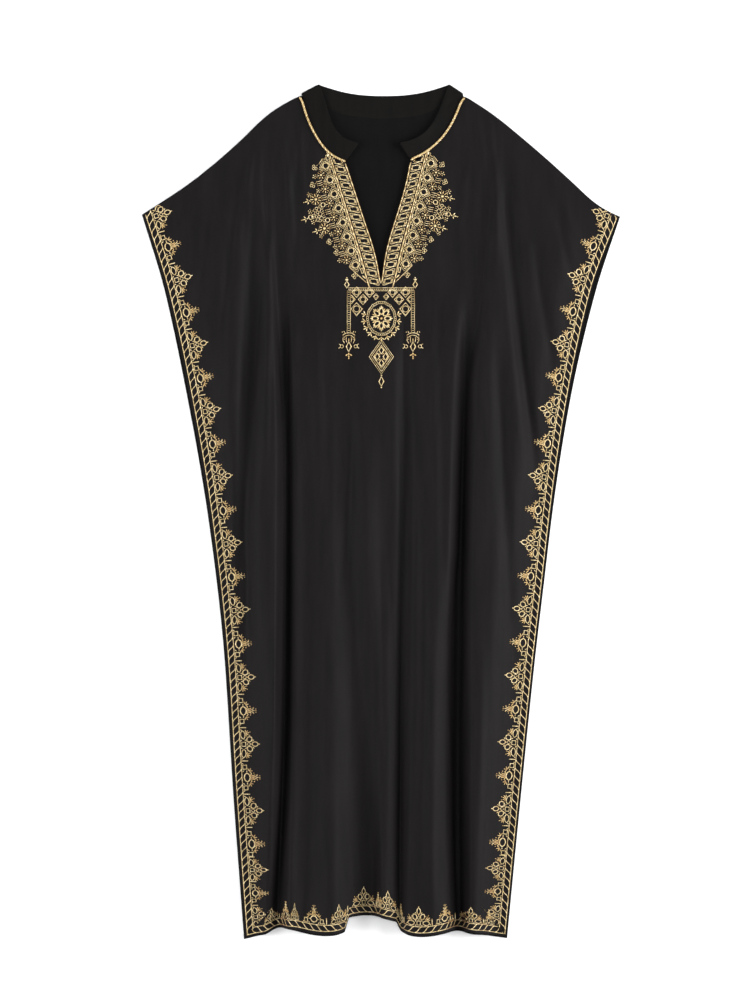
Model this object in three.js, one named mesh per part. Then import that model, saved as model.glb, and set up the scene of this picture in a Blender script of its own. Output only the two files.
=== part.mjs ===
// A long embroidered beach kaftan, laid out on a flat surface with its front up.
// Two wide panels lie on each other, with a V slit and a band collar at the neck.
// Millimetres. +X is the right of the laid garment, +Y runs from the hem to the neck,
// and +Z is up from the surface, which is z = 0. The origin is the middle of the outline.
import * as THREE from "three";

// Driving dimensions
const CLOTH = 1.5; // wall of a panel
const LAYER_GAP = 0.6; // air between the two panels where they lie on each other
const COLLAR_WALL = 1.8; // the collar is two layers of cloth
const COLLAR_GAP = 0.6; // air inside the collar where it folds at the neck points
const SEAM = 0.45; // air at a seam, so that no two pieces touch
const HALF_LENGTH = 641.25; // from the middle of the garment to its end
const SLIT_END = { x: 0, y: 336.75 };
const CORD_WIDTH = 3.8;
const CORD_HEIGHT = 2.2;

// How finely the panels are divided. The zones lie between the sides, the slit and lines
// along four folds, some a little beside them
const ZONES = [
  { name: "left sleeve", ends: "left wing", beside: 0, columns: 7 },
  { name: "left wing", ends: "left deep", beside: -18, columns: 3 },
  { name: "left deep west", ends: "left deep", beside: 0, columns: 4 },
  { name: "left deep east", ends: "left deep", beside: 26, columns: 5 },
  { name: "left middle", ends: "slit", beside: 0, columns: 12 },
  { name: "right middle", ends: "right deep", beside: -22, columns: 9 },
  { name: "right deep west", ends: "right deep", beside: 0, columns: 4 },
  { name: "right deep east", ends: "right deep", beside: 24, columns: 5 },
  { name: "right wing", ends: "right sleeve", beside: 0, columns: 4 },
  { name: "right sleeve", ends: "right side", beside: 0, columns: 7 },
];
const NECK_ROWS = 6;
const BODY_ROWS = 18;
const BACK_NECK_ROWS = 4;
const BODY_TOP = 322; // height at which the neck rows end and the body rows start

// Outline of the cloth that shows: the side edges by height
const LEFT_SIDE = [
  { y: -640.5, x: -205.5 },
  { y: -417.75, x: -222 },
  { y: -207.75, x: -235.5 },
  { y: -5.25, x: -259.5 },
  { y: 174.75, x: -291 },
  { y: 332.25, x: -324.5 },
  { y: 444.75, x: -358.5 },
];
const RIGHT_SIDE = [
  { y: -640.5, x: 189 },
  { y: -410.25, x: 211.5 },
  { y: -207.75, x: 232.5 },
  { y: -95.25, x: 246 },
  { y: -5.25, x: 256.5 },
  { y: 174.75, x: 285 },
  { y: 332.25, x: 322.5 },
  { y: 441.75, x: 358.5 },
];

// How far the back panel shows past the front one, at the sides by height and at the hem by x
const LEFT_PEEK = [
  { y: -640, width: 1 },
  { y: -100, width: 1.8 },
  { y: 200, width: 3.4 },
  { y: 330, width: 2.4 },
  { y: 445, width: 0.8 },
];
const RIGHT_PEEK = [
  { y: -640, width: 1.2 },
  { y: -100, width: 1.4 },
  { y: 60, width: 2.6 },
  { y: 200, width: 4 },
  { y: 330, width: 6.5 },
  { y: 445, width: 1.2 },
];
const HEM_PEEK = [
  { x: -210, width: 1 },
  { x: -140, width: 1 },
  { x: -120, width: 3 },
  { x: -56, width: 3 },
  { x: -48, width: 1.2 },
  { x: 24, width: 1.4 },
  { x: 32, width: 2 },
  { x: 90, width: 2 },
  { x: 115, width: 3.4 },
  { x: 195, width: 1.6 },
];

// The shoulders and the hem by x. The hem steps up where the middle folds fall behind
const LEFT_SHOULDER = [
  { x: -358.5, y: 444.75 },
  { x: -283.5, y: 494.25 },
  { x: -223.5, y: 543.75 },
  { x: -163.5, y: 599.25 },
  { x: -120, y: 624.5 },
];
const RIGHT_SHOULDER = [
  { x: 123, y: 624.5 },
  { x: 166.5, y: 596 },
  { x: 226.5, y: 547.5 },
  { x: 286.5, y: 494 },
  { x: 327, y: 457 },
  { x: 358.5, y: 441.75 },
];
const HEM = [
  { x: -205.5, y: -641.5 },
  { x: -184.5, y: -636 },
  { x: -172.5, y: -633 },
  { x: -163.5, y: -627.5 },
  { x: -148.5, y: -623 },
  { x: -133.5, y: -623.5 },
  { x: -121.5, y: -627.5 },
  { x: -103.5, y: -631 },
  { x: -85.5, y: -632.25 },
  { x: -64.5, y: -630.5 },
  { x: -54, y: -627 },
  { x: -47.5, y: -606.5 },
  { x: -28.5, y: -605.25 },
  { x: -7.5, y: -605.25 },
  { x: 10.5, y: -609 },
  { x: 23, y: -613.5 },
  { x: 29.5, y: -626.5 },
  { x: 40.5, y: -631.5 },
  { x: 55.5, y: -633.75 },
  { x: 73.5, y: -632.25 },
  { x: 91.5, y: -629.25 },
  { x: 106.5, y: -627.75 },
  { x: 127.5, y: -630 },
  { x: 151.5, y: -633 },
  { x: 172.5, y: -637.5 },
  { x: 189, y: -639.75 },
];

// The front neckline from each neck corner to the top of the slit, and the slit's two edges
const LEFT_NECK = [
  { x: -120, y: 624.5 },
  { x: -114, y: 598.5 },
  { x: -105, y: 576 },
  { x: -93.75, y: 555.75 },
  { x: -80.25, y: 539 },
  { x: -69, y: 531 },
  { x: -53.25, y: 524.25 },
];
const RIGHT_NECK = [
  { x: 43.5, y: 527 },
  { x: 66, y: 537.5 },
  { x: 80.5, y: 548.5 },
  { x: 97.5, y: 566 },
  { x: 113.25, y: 594 },
  { x: 123, y: 624.5 },
];
const LEFT_SLIT = [
  { x: -53.25, y: 524.25 },
  { x: -39.75, y: 483.75 },
  { x: -24, y: 434.25 },
  { x: -10.5, y: 396 },
  { x: -3, y: 362 },
  SLIT_END,
];
const RIGHT_SLIT = [
  SLIT_END,
  { x: 2.6, y: 362 },
  { x: 7.5, y: 396 },
  { x: 24, y: 447 },
  { x: 38.5, y: 498 },
  { x: 43.5, y: 527 },
];

// The collar band. Its free edge starts at the neck point, where the band folds over
const LEFT_POINT = { x: -91.5, y: 639.4 };
const RIGHT_POINT = { x: 100.5, y: 639.4 };
const LEFT_FREE = [
  LEFT_POINT,
  { x: -84.5, y: 620 },
  { x: -80, y: 604 },
  { x: -74.5, y: 584 },
  { x: -65, y: 567 },
  { x: -48, y: 556.5 },
  { x: -32, y: 552 },
];
const RIGHT_FREE = [
  RIGHT_POINT,
  { x: 93.5, y: 620 },
  { x: 88, y: 604 },
  { x: 79, y: 583 },
  { x: 66, y: 567.5 },
  { x: 47, y: 557 },
  { x: 26, y: 552.5 },
];
const BACK_NECK = [
  { x: -120, y: 624.5 },
  { x: -82, y: 604 },
  { x: -42, y: 592 },
  { x: 4, y: 588.5 },
  { x: 48, y: 592 },
  { x: 88, y: 604.5 },
  { x: 123, y: 624.5 },
];
const BACK_FREE = [
  LEFT_POINT,
  { x: -58.5, y: 629.5 },
  { x: -27, y: 624.5 },
  { x: 4.5, y: 623.25 },
  { x: 36, y: 624.5 },
  { x: 66, y: 629 },
  RIGHT_POINT,
];
const COLLAR_LIFT = 4.5; // how far the free edge springs up from the layer below

// Folds. Between them the cloth stands up in soft rolls, and in them it comes down to the surface.
// A fold's place and depth are given at the five levels, and its half widths at the hem and the shoulder
const LEVELS = [-641, -283, 77, 317, 497]; // hem, knee, hip, chest and shoulder
const ROLL_HEIGHT = [42, 32, 25, 15, 7]; // at those levels
const FOLDS = [
  {
    name: "left sleeve",
    x: [-250, -250, -250, -244, -240],
    depth: [0, 0, 0, 0.35, 0.3],
    left: [20, 22],
    right: [20, 22],
  },
  {
    name: "left wing",
    x: [-184, -194, -203, -193, -209],
    depth: [0, 0.2, 0.5, 0.9, 0.6],
    left: [20, 20],
    right: [20, 22],
  },
  {
    name: "left deep",
    x: [-156, -145, -143, -150, -168],
    depth: [1, 1, 1, 0.85, 0.45],
    left: [20, 16],
    right: [28, 20],
  },
  {
    name: "left roll side",
    x: [-124, -122, -120, -126, -130],
    depth: [0.34, 0.34, 0.26, 0.15, 0],
    left: [16, 14],
    right: [52, 36],
  },
  {
    name: "centre left",
    x: [-18, -28, -50, -60, -60],
    depth: [0.9, 0.6, 0.28, 0.1, 0],
    left: [58, 34],
    right: [30, 24],
  },
  {
    name: "centre right",
    x: [28, 31, 38, 37, 37],
    depth: [0.55, 0.5, 0.42, 0.34, 0],
    left: [26, 20],
    right: [15, 15],
  },
  {
    name: "right roll",
    x: [40, 44, 52, 60, 60],
    depth: [0.2, 0.15, 0.1, 0.05, 0],
    left: [14, 14],
    right: [40, 36],
  },
  {
    name: "right deep",
    x: [118, 116, 122, 132, 157],
    depth: [1, 1, 1, 0.85, 0.55],
    left: [28, 16],
    right: [24, 22],
  },
  {
    name: "right wing",
    x: [166, 194, 187, 180, 176],
    depth: [0, 0.2, 0.35, 0.25, 0],
    left: [18, 18],
    right: [18, 20],
  },
  {
    name: "right sleeve",
    x: [164, 190, 224, 206, 188],
    depth: [0, 0, 0.25, 0.9, 0.6],
    left: [20, 20],
    right: [20, 22],
  },
  {
    name: "right armhole",
    x: [200, 214, 244, 240, 224],
    depth: [0, 0, 0.1, 0.5, 0.4],
    left: [18, 20],
    right: [18, 22],
  },
];
const SIDE_FLAT = 14; // width along each side edge that lies flat
const SIDE_RISE = 62; // width over which the cloth then rises to its full height
const SHOULDER_RISE = 130; // the same below the shoulder line
const NECK_FLAT = { half: 124, fade: 56, low: 235, high: 335 }; // flat area round the slit and collar
const SLIT_LIFT = 3.6; // the front stands this far off the back at the slit
const SLIT_LIFT_AREA = { near: 34, far: 112, low: 300, high: 372 };

const smoothstep = (from, to, value) => {
  const t = Math.min(1, Math.max(0, (value - from) / (to - from)));
  return t * t * (3 - 2 * t);
};

// A smooth curve through a table's rows that never overshoots them, as a function of one column
function through(table, input, output) {
  const rows = [...table].sort((a, b) => a[input] - b[input]);
  const at = rows.map((row) => row[input]);
  const value = rows.map((row) => row[output]);
  const slope = at.slice(1).map((next, i) => (value[i + 1] - value[i]) / (next - at[i]));
  const tangent = at.map((_, i) => {
    if (i === 0) return slope[0];
    if (i === at.length - 1) return slope[i - 1];
    return slope[i - 1] * slope[i] <= 0 ? 0 : (2 * slope[i - 1] * slope[i]) / (slope[i - 1] + slope[i]);
  });
  return (v) => {
    if (v <= at[0]) return value[0] + tangent[0] * (v - at[0]);
    const last = at.length - 1;
    if (v >= at[last]) return value[last] + tangent[last] * (v - at[last]);
    let i = 0;
    while (v > at[i + 1]) i += 1;
    const width = at[i + 1] - at[i];
    const t = (v - at[i]) / width;
    const t2 = t * t;
    const t3 = t2 * t;
    return (
      (2 * t3 - 3 * t2 + 1) * value[i] +
      (t3 - 2 * t2 + t) * width * tangent[i] +
      (3 * t2 - 2 * t3) * value[i + 1] +
      (t3 - t2) * width * tangent[i + 1]
    );
  };
}
const byLevel = (values) => through(LEVELS.map((y, i) => ({ y, value: values[i] })), "y", "value");

const leftSide = through(LEFT_SIDE, "y", "x");
const rightSide = through(RIGHT_SIDE, "y", "x");
const leftPeek = through(LEFT_PEEK, "y", "width");
const rightPeek = through(RIGHT_PEEK, "y", "width");
const hemPeek = through(HEM_PEEK, "x", "width");
const hem = through(HEM, "x", "y");
const backNeck = through(BACK_NECK, "x", "y");
const shoulderLeft = through(LEFT_SHOULDER, "x", "y");
const shoulderRight = through(RIGHT_SHOULDER, "x", "y");
// The front's top edge from left to right, each stretch with the x where it ends
const topStretches = [
  { end: LEFT_NECK[0].x, curve: shoulderLeft },
  { end: LEFT_SLIT[0].x, curve: through(LEFT_NECK, "x", "y") },
  { end: SLIT_END.x, curve: through(LEFT_SLIT, "x", "y") },
  { end: RIGHT_NECK[0].x, curve: through(RIGHT_SLIT, "x", "y") },
  { end: RIGHT_SHOULDER[0].x, curve: through(RIGHT_NECK, "x", "y") },
  { end: Infinity, curve: shoulderRight },
];
const frontTop = (x) => topStretches.find((stretch) => x <= stretch.end).curve(x);
const backTop = (x) => (x > BACK_NECK[0].x && x < RIGHT_SHOULDER[0].x ? backNeck(x) : frontTop(x));

// Height of the cloth's underside above the surface
const rollHeight = byLevel(ROLL_HEIGHT);
const fromHemToShoulder = ([atHem, atShoulder]) => (y) =>
  atHem + ((atShoulder - atHem) * (y - LEVELS[0])) / (LEVELS[4] - LEVELS[0]);
const folds = FOLDS.map((fold) => ({
  x: byLevel(fold.x),
  depth: byLevel(fold.depth),
  left: fromHemToShoulder(fold.left),
  right: fromHemToShoulder(fold.right),
}));
function shoulderLine(x) {
  if (x <= LEFT_NECK[0].x) return shoulderLeft(x);
  if (x >= RIGHT_SHOULDER[0].x) return shoulderRight(x);
  return HALF_LENGTH;
}
function relief(x, y) {
  const level = Math.min(LEVELS[4], Math.max(LEVELS[0], y));
  let height = Math.max(0, rollHeight(level));
  height *= smoothstep(SIDE_FLAT, SIDE_FLAT + SIDE_RISE, x - leftSide(y));
  height *= smoothstep(SIDE_FLAT, SIDE_FLAT + SIDE_RISE, rightSide(y) - x);
  height *= smoothstep(2, SHOULDER_RISE, shoulderLine(x) - y);
  const flat =
    (1 - smoothstep(NECK_FLAT.half, NECK_FLAT.half + NECK_FLAT.fade, Math.abs(x))) *
    smoothstep(NECK_FLAT.low, NECK_FLAT.high, y);
  height *= 1 - flat;
  for (const fold of folds) {
    const across = x - fold.x(level);
    const reach = Math.abs(across) / (across < 0 ? fold.left(level) : fold.right(level));
    if (reach < 1) height *= 1 - Math.max(0, fold.depth(level)) * (0.5 + 0.5 * Math.cos(Math.PI * reach));
  }
  return height;
}
// A wall measured upright is thicker where it slopes
function upright(x, y) {
  const step = 1.5;
  const slopeX = (relief(x + step, y) - relief(x - step, y)) / (2 * step);
  const slopeY = (relief(x, y + step) - relief(x, y - step)) / (2 * step);
  return Math.hypot(1, slopeX, slopeY);
}
// How far the front layer is lifted off the back one round the slit
function slitLift(x, y) {
  const area = SLIT_LIFT_AREA;
  const beside = 1 - smoothstep(area.near, area.far, Math.abs(x));
  return SLIT_LIFT * beside * smoothstep(area.low, area.high, y);
}
const backUnder = (x, y) => relief(x, y);
const backOver = (x, y) => relief(x, y) + CLOTH * upright(x, y);
const frontUnder = (x, y) => relief(x, y) + (CLOTH + LAYER_GAP) * upright(x, y) + slitLift(x, y);
const frontOver = (x, y) => relief(x, y) + (2 * CLOTH + LAYER_GAP) * upright(x, y) + slitLift(x, y);

// The columns of both panels. A column is a line from the top edge to the hem. Its place is the number
// of its zone and its share of that zone's width, so the columns run along the deep folds
const frontLeft = (y) => leftSide(y) + leftPeek(y);
const frontRight = (y) => rightSide(y) - rightPeek(y);
const foldLine = (name) => {
  const line = byLevel(FOLDS.find((fold) => fold.name === name).x);
  return (y) => line(Math.min(LEVELS[4], Math.max(LEVELS[0], y)));
};
const zoneEnds = { slit: () => SLIT_END.x, "right side": frontRight };
const zoneEnd = (zone) => {
  const line = zoneEnds[zone.ends] ?? foldLine(zone.ends);
  return (y) => line(y) + zone.beside;
};
const zoneEdges = [frontLeft, ...ZONES.map(zoneEnd)];
const lastZone = ZONES.length - 1;
function columnX(place, y) {
  const zone = Math.min(Math.floor(place), lastZone);
  const left = zoneEdges[zone](y);
  return left + (place - zone) * (zoneEdges[zone + 1](y) - left);
}
function placeAt(x, y) {
  let zone = 0;
  while (zone < lastZone && x >= zoneEdges[zone + 1](y)) zone += 1;
  const left = zoneEdges[zone](y);
  return zone + (x - left) / (zoneEdges[zone + 1](y) - left);
}
function whereColumnMeets(place, edge, low, high) {
  let under = low;
  let over = high;
  for (let i = 0; i < 60; i += 1) {
    const middle = (under + over) / 2;
    if (middle < edge(columnX(place, middle))) under = middle;
    else over = middle;
  }
  return (under + over) / 2;
}
function columnPlaces() {
  const necklines = [LEFT_NECK, LEFT_SLIT, RIGHT_SLIT, RIGHT_NECK].flatMap((table) => table.slice(0, -1));
  const steps = [HEM[10], HEM[11], HEM[15], HEM[16]];
  const keys = [...necklines, RIGHT_SHOULDER[0], ...steps].map((p) => placeAt(p.x, p.y));
  const all = [...new Set([...keys, ...zoneEdges.keys()])].sort((a, b) => a - b);
  const places = [0];
  for (let i = 1; i < all.length; i += 1) {
    const width = all[i] - all[i - 1];
    const zone = ZONES[Math.floor((all[i] + all[i - 1]) / 2)];
    const parts = Math.max(1, Math.round(width * zone.columns));
    for (let k = 1; k <= parts; k += 1) places.push(all[i - 1] + (width * k) / parts);
  }
  return places;
}

// The plan of a panel: points in the plane, and the triangles between them, counter-clockwise from above
class Plan {
  constructor() {
    this.points = [];
    this.triangles = [];
  }
  point(x, y) {
    this.points.push({ x, y });
    return this.points.length - 1;
  }
  // A square of four points, in order round it. Points that are the same leave a triangle
  square(a, b, c, d) {
    const corners = [a, b, c, d].filter((p, i, all) => all.indexOf(p) === i);
    if (corners.length === 4) this.triangles.push([a, b, c], [a, c, d]);
    if (corners.length === 3) this.triangles.push(corners);
  }
  rows(grid) {
    for (let r = 1; r < grid.length; r += 1) {
      for (let c = 1; c < grid[r].length; c += 1) {
        this.square(grid[r][c - 1], grid[r][c], grid[r - 1][c], grid[r - 1][c - 1]);
      }
    }
  }
}
const places = columnPlaces();
const hemHeights = places.map((place) => {
  const y = whereColumnMeets(place, hem, HEM[0].y - 12, -560);
  return y + hemPeek(columnX(place, y));
});
const frontTops = places.map((place) => whereColumnMeets(place, frontTop, BODY_TOP, HALF_LENGTH + 20));
const backTops = places.map((place) => whereColumnMeets(place, backTop, BODY_TOP, HALF_LENGTH + 20));

// Heights of a column's points from its top edge down to the hem
function columnHeights(column) {
  const top = frontTops[column];
  const bottom = hemHeights[column];
  const spread = (from, to, steps) =>
    Array.from({ length: steps }, (_, i) => from + ((to - from) * i) / steps);
  return [...spread(top, BODY_TOP, NECK_ROWS), ...spread(BODY_TOP, bottom, BODY_ROWS), bottom];
}
const heights = places.map((_, column) => columnHeights(column));
const panelGrid = (plan) =>
  heights[0].map((_, row) =>
    places.map((place, column) => {
      const y = heights[column][row];
      return plan.point(columnX(place, y), y);
    }),
  );

function frontPlan() {
  const plan = new Plan();
  plan.rows(panelGrid(plan));
  return plan;
}
// The back has the front's points, and more at the neck, along the sides and below the hem
function backPlan() {
  const plan = new Plan();
  const grid = panelGrid(plan);
  const hemRow = places.map((place, column) => {
    const y = hemHeights[column];
    const x = columnX(place, y);
    return plan.point(x, y - hemPeek(x));
  });
  const all = [...grid, hemRow];
  const edged = all.map((row) => {
    const first = plan.points[row[0]];
    const last = plan.points[row[row.length - 1]];
    const left = plan.point(first.x - leftPeek(first.y), first.y);
    const right = plan.point(last.x + rightPeek(last.y), last.y);
    return [left, ...row, right];
  });
  plan.rows(edged);
  const neckGrid = Array.from({ length: BACK_NECK_ROWS }, (_, row) =>
    places.map((place, column) => {
      const rise = backTops[column] - frontTops[column];
      if (rise < 0.01) return grid[0][column];
      const y = backTops[column] - (rise * row) / BACK_NECK_ROWS;
      return plan.point(columnX(place, y), y);
    }),
  );
  plan.rows([...neckGrid, grid[0]]);
  return plan;
}

function solid(positions, indices) {
  const geometry = new THREE.BufferGeometry();
  geometry.setAttribute("position", new THREE.Float32BufferAttribute(positions, 3));
  geometry.setIndex(indices);
  geometry.computeVertexNormals();
  return geometry;
}
// A wall over a plan, between an under and an over surface, closed along every edge
function wall(plan, under, over) {
  const count = plan.points.length;
  const positions = [];
  for (const surface of [under, over]) {
    for (const p of plan.points) positions.push(p.x, p.y, surface(p.x, p.y));
  }
  const indices = [];
  const edges = new Map();
  for (const [a, b, c] of plan.triangles) {
    indices.push(a + count, b + count, c + count, a, c, b);
    for (const [from, to] of [[a, b], [b, c], [c, a]]) {
      if (edges.has(`${to},${from}`)) edges.delete(`${to},${from}`);
      else edges.set(`${from},${to}`, [from, to]);
    }
  }
  for (const [from, to] of edges.values()) {
    indices.push(from, to, to + count, from, to + count, from + count);
  }
  return solid(positions, indices);
}
// A bar through closed rings of points, all with the same number, with flat ends
function loft(rings) {
  const size = rings[0].length;
  const positions = rings.flat().flatMap((p) => [p.x, p.y, p.z]);
  const indices = [];
  for (let r = 1; r < rings.length; r += 1) {
    for (let i = 0; i < size; i += 1) {
      const next = (i + 1) % size;
      const [a, b, c, d] = [(r - 1) * size + i, (r - 1) * size + next, r * size + next, r * size + i];
      indices.push(a, b, c, a, c, d);
    }
  }
  // Each end is a strip between the ring's two halves
  const end = (base, flip) => {
    for (let i = 0; i < size / 2 - 1; i += 1) {
      const [a, b, c, d] = [i, i + 1, size - 2 - i, size - 1 - i].map((k) => base + k);
      if (flip) indices.push(a, b, c, a, c, d);
      else indices.push(a, c, b, a, d, c);
    }
  };
  end(0, false);
  end((rings.length - 1) * size, true);
  const turned = indices.map((_, i) => indices[i - (i % 3) + [0, 2, 1][i % 3]]);
  return solid(positions, volume(positions, indices) < 0 ? turned : indices);
}
function volume(positions, indices) {
  const p = (i) => new THREE.Vector3().fromArray(positions, i * 3);
  let sum = 0;
  for (let i = 0; i < indices.length; i += 3) {
    sum += p(indices[i]).dot(p(indices[i + 1]).cross(p(indices[i + 2])));
  }
  return sum;
}

// The points of a panel's top edge between two places across it, from left to right
function edgePoints(tops, from, to) {
  return places
    .map((place, column) => new THREE.Vector3(columnX(place, tops[column]), tops[column], 0))
    .filter((p) => p.x > from.x - 0.01 && p.x < to.x + 0.01);
}
// For each point of a seam, the point as far along a table's smooth curve
function matching(seam, table) {
  const points = table.map((p) => new THREE.Vector3(p.x, p.y, 0));
  const curve = new THREE.CatmullRomCurve3(points, false, "centripetal");
  const along = [0];
  for (let i = 1; i < seam.length; i += 1) along.push(along[i - 1] + seam[i].distanceTo(seam[i - 1]));
  return along.map((length) => curve.getPointAt(Math.min(1, length / along[along.length - 1])));
}
// The seam edge stands off the panel by the seam's air, towards the inside of the collar
function offSeam(seam, free) {
  return seam.map((p, i) => {
    const side = free[i].clone().sub(p).normalize();
    return p.clone().addScaledVector(side, SEAM);
  });
}
const ACROSS = [0, 0.25, 0.5, 0.78, 1]; // places across the band, from the seam to the free edge
const FRONT_BOTTOM = COLLAR_WALL + COLLAR_GAP;

// One ring of the collar: its outer face, then its inner face the other way
function collarRing(seam, free, outer, inner) {
  const at = (share) => seam.clone().lerp(free, share);
  const out = ACROSS.map((share) => outer(at(share), share));
  const back = [...ACROSS].reverse().map((share) => inner(at(share), share));
  return [...out, ...back];
}
// A front half of the band, from the neck point's fold to its end at the slit
function collarFront(edge, freeTable) {
  const free = matching(edge, freeTable);
  const seam = offSeam(edge, free);
  return seam.map((p, i) => {
    const along = i / (seam.length - 1);
    const spring = COLLAR_LIFT * smoothstep(0.05, 0.5, along);
    const raised = (q, share, height) =>
      q.clone().setZ(height + slitLift(q.x, q.y) + spring * share * share);
    return collarRing(
      p,
      free[i],
      (q, share) => raised(q, share, FRONT_BOTTOM + COLLAR_WALL),
      (q, share) => raised(q, share, FRONT_BOTTOM),
    );
  });
}
// The half turn of the band at a neck point, about the line from the seam to the point
function collarFold(seamCorner, point, steps) {
  const free = new THREE.Vector3(point.x, point.y, 0);
  const [seam] = offSeam([new THREE.Vector3(seamCorner.x, seamCorner.y, 0)], [free]);
  const crease = free.clone().sub(seam).normalize();
  const up = new THREE.Vector3(0, 0, 1);
  let outward = new THREE.Vector3().crossVectors(crease, up);
  if (outward.y < 0) outward = outward.negate();
  const middle = COLLAR_WALL + COLLAR_GAP / 2;
  const around = (q, radius, angle) =>
    q
      .clone()
      .setZ(middle)
      .addScaledVector(outward, radius * Math.sin(angle))
      .addScaledVector(up, radius * Math.cos(angle));
  return Array.from({ length: steps }, (_, i) => {
    const angle = (Math.PI * (i + 1)) / (steps + 1);
    return collarRing(
      seam,
      free,
      (q) => around(q, COLLAR_WALL + COLLAR_GAP / 2, angle),
      (q) => around(q, COLLAR_GAP / 2, angle),
    );
  });
}
function collarBack() {
  const edge = edgePoints(backTops, LEFT_NECK[0], RIGHT_SHOULDER[0]);
  const free = matching(edge, BACK_FREE);
  const seam = offSeam(edge, free);
  return seam.map((p, i) =>
    collarRing(
      p,
      free[i],
      (q) => q.clone().setZ(0),
      (q) => q.clone().setZ(COLLAR_WALL),
    ),
  );
}
const leftNeckEdge = edgePoints(frontTops, LEFT_NECK[0], LEFT_SLIT[0]);
const rightNeckEdge = edgePoints(frontTops, RIGHT_NECK[0], RIGHT_SHOULDER[0]).reverse();
function collarBand() {
  const left = collarFront(leftNeckEdge, LEFT_FREE).reverse();
  const leftFold = collarFold(LEFT_NECK[0], LEFT_POINT, 5);
  const rightFold = collarFold(RIGHT_SHOULDER[0], RIGHT_POINT, 5).reverse();
  const right = collarFront(rightNeckEdge, RIGHT_FREE);
  return loft([...left, ...leftFold, ...collarBack(), ...rightFold, ...right]);
}

// The twisted cord that covers the collar's front seam, a low dome in section
function neckCord(edge) {
  const sides = 8;
  const path = edge.slice(1);
  const base = FRONT_BOTTOM + COLLAR_WALL + SEAM;
  const rings = path.map((p, i) => {
    const along = path[Math.min(i + 1, path.length - 1)].clone().sub(path[Math.max(i - 1, 0)]).normalize();
    const across = new THREE.Vector3(-along.y, along.x, 0);
    return Array.from({ length: sides }, (_, k) => {
      const angle = (2 * Math.PI * (k + 0.5)) / sides;
      const height = Math.max(0, 0.5 + 0.5 * Math.sin(angle) * 1.08) * CORD_HEIGHT;
      const q = p.clone().addScaledVector(across, (CORD_WIDTH / 2) * Math.cos(angle));
      return q.setZ(base + slitLift(q.x, q.y) + height);
    });
  });
  return loft(rings.map((ring) => [...ring.slice(2), ...ring.slice(0, 2)]));
}

const cloth = { color: "#29272a", roughness: 0.62, metalness: 0 };
const materials = {
  front: new THREE.MeshStandardMaterial(cloth),
  back: new THREE.MeshStandardMaterial({ ...cloth, color: "#211f22" }),
  collar: new THREE.MeshStandardMaterial({ ...cloth, color: "#1f1d1e", roughness: 0.75 }),
  gold: new THREE.MeshStandardMaterial({ color: "#d2b06a", roughness: 0.4, metalness: 0.3 }),
};

const kaftan = new THREE.Group();
function add(name, geometry, material) {
  const mesh = new THREE.Mesh(geometry, material);
  mesh.name = name;
  kaftan.add(mesh);
}
add("front_panel", wall(frontPlan(), frontUnder, frontOver), materials.front);
add("back_panel", wall(backPlan(), backUnder, backOver), materials.back);
add("collar_band", collarBand(), materials.collar);
add("neck_cord_left", neckCord(leftNeckEdge), materials.gold);
add("neck_cord_right", neckCord(rightNeckEdge), materials.gold);

export default kaftan;
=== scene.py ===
# A long beach kaftan of black woven rayon, laid out front up on a pale surface.
# Gold thread embroidery runs down both sides, along the hem and round the neck slit.
# The frame is in metres; the tables below are in millimetres, as the garment is measured.
import bisect
import math

import bmesh
import bpy
from mathutils import Matrix, Vector
from mathutils.bvhtree import BVHTree
from mathutils.kdtree import KDTree


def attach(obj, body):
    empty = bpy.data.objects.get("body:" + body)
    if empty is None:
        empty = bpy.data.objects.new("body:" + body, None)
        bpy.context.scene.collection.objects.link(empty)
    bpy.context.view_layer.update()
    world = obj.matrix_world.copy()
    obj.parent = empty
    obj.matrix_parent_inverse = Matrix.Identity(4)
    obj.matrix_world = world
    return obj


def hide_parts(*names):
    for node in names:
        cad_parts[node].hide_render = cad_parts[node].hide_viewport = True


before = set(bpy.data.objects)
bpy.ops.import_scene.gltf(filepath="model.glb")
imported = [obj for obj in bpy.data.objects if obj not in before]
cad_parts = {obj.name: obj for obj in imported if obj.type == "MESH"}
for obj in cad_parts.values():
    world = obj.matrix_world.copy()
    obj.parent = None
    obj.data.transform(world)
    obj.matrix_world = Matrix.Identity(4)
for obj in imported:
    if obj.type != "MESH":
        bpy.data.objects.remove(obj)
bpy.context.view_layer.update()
MM = 0.001
MERGE = 0.02 * MM  # corners of the CAD mesh that are nearer than this are one

# Camera, straight above the garment as it lies
VIEW_HEIGHT = 5.0  # metres
VIEW_LENGTH = 1.5  # metres of surface from the top of the picture to its foot
VIEW_CENTRE = (-0.009, 0.0172)

camera = bpy.data.objects.new("camera", bpy.data.cameras.new("camera"))
bpy.context.scene.collection.objects.link(camera)
camera.location = (*VIEW_CENTRE, VIEW_HEIGHT)
camera.data.sensor_width = 36
camera.data.lens = 36 * VIEW_HEIGHT / VIEW_LENGTH
camera.data.clip_end = 50
bpy.context.scene.camera = camera

# Small helpers for the work by hand


def only(piece):
    for other in bpy.context.selected_objects:
        other.select_set(False)
    piece.select_set(True)
    bpy.context.view_layer.objects.active = piece


def finish_with(piece, kind, **settings):
    only(piece)
    modifier = piece.modifiers.new(kind.lower(), kind)
    for name, value in settings.items():
        setattr(modifier, name, value)
    bpy.ops.object.modifier_apply(modifier=modifier.name)


def new_piece(name, mesh):
    piece = bpy.data.objects.new(name, mesh)
    bpy.context.scene.collection.objects.link(piece)
    return piece


def smooth_blend(low, high, value):
    t = min(1.0, max(0.0, (value - low) / (high - low)))
    return t * t * (3 - 2 * t)


# Materials


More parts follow.
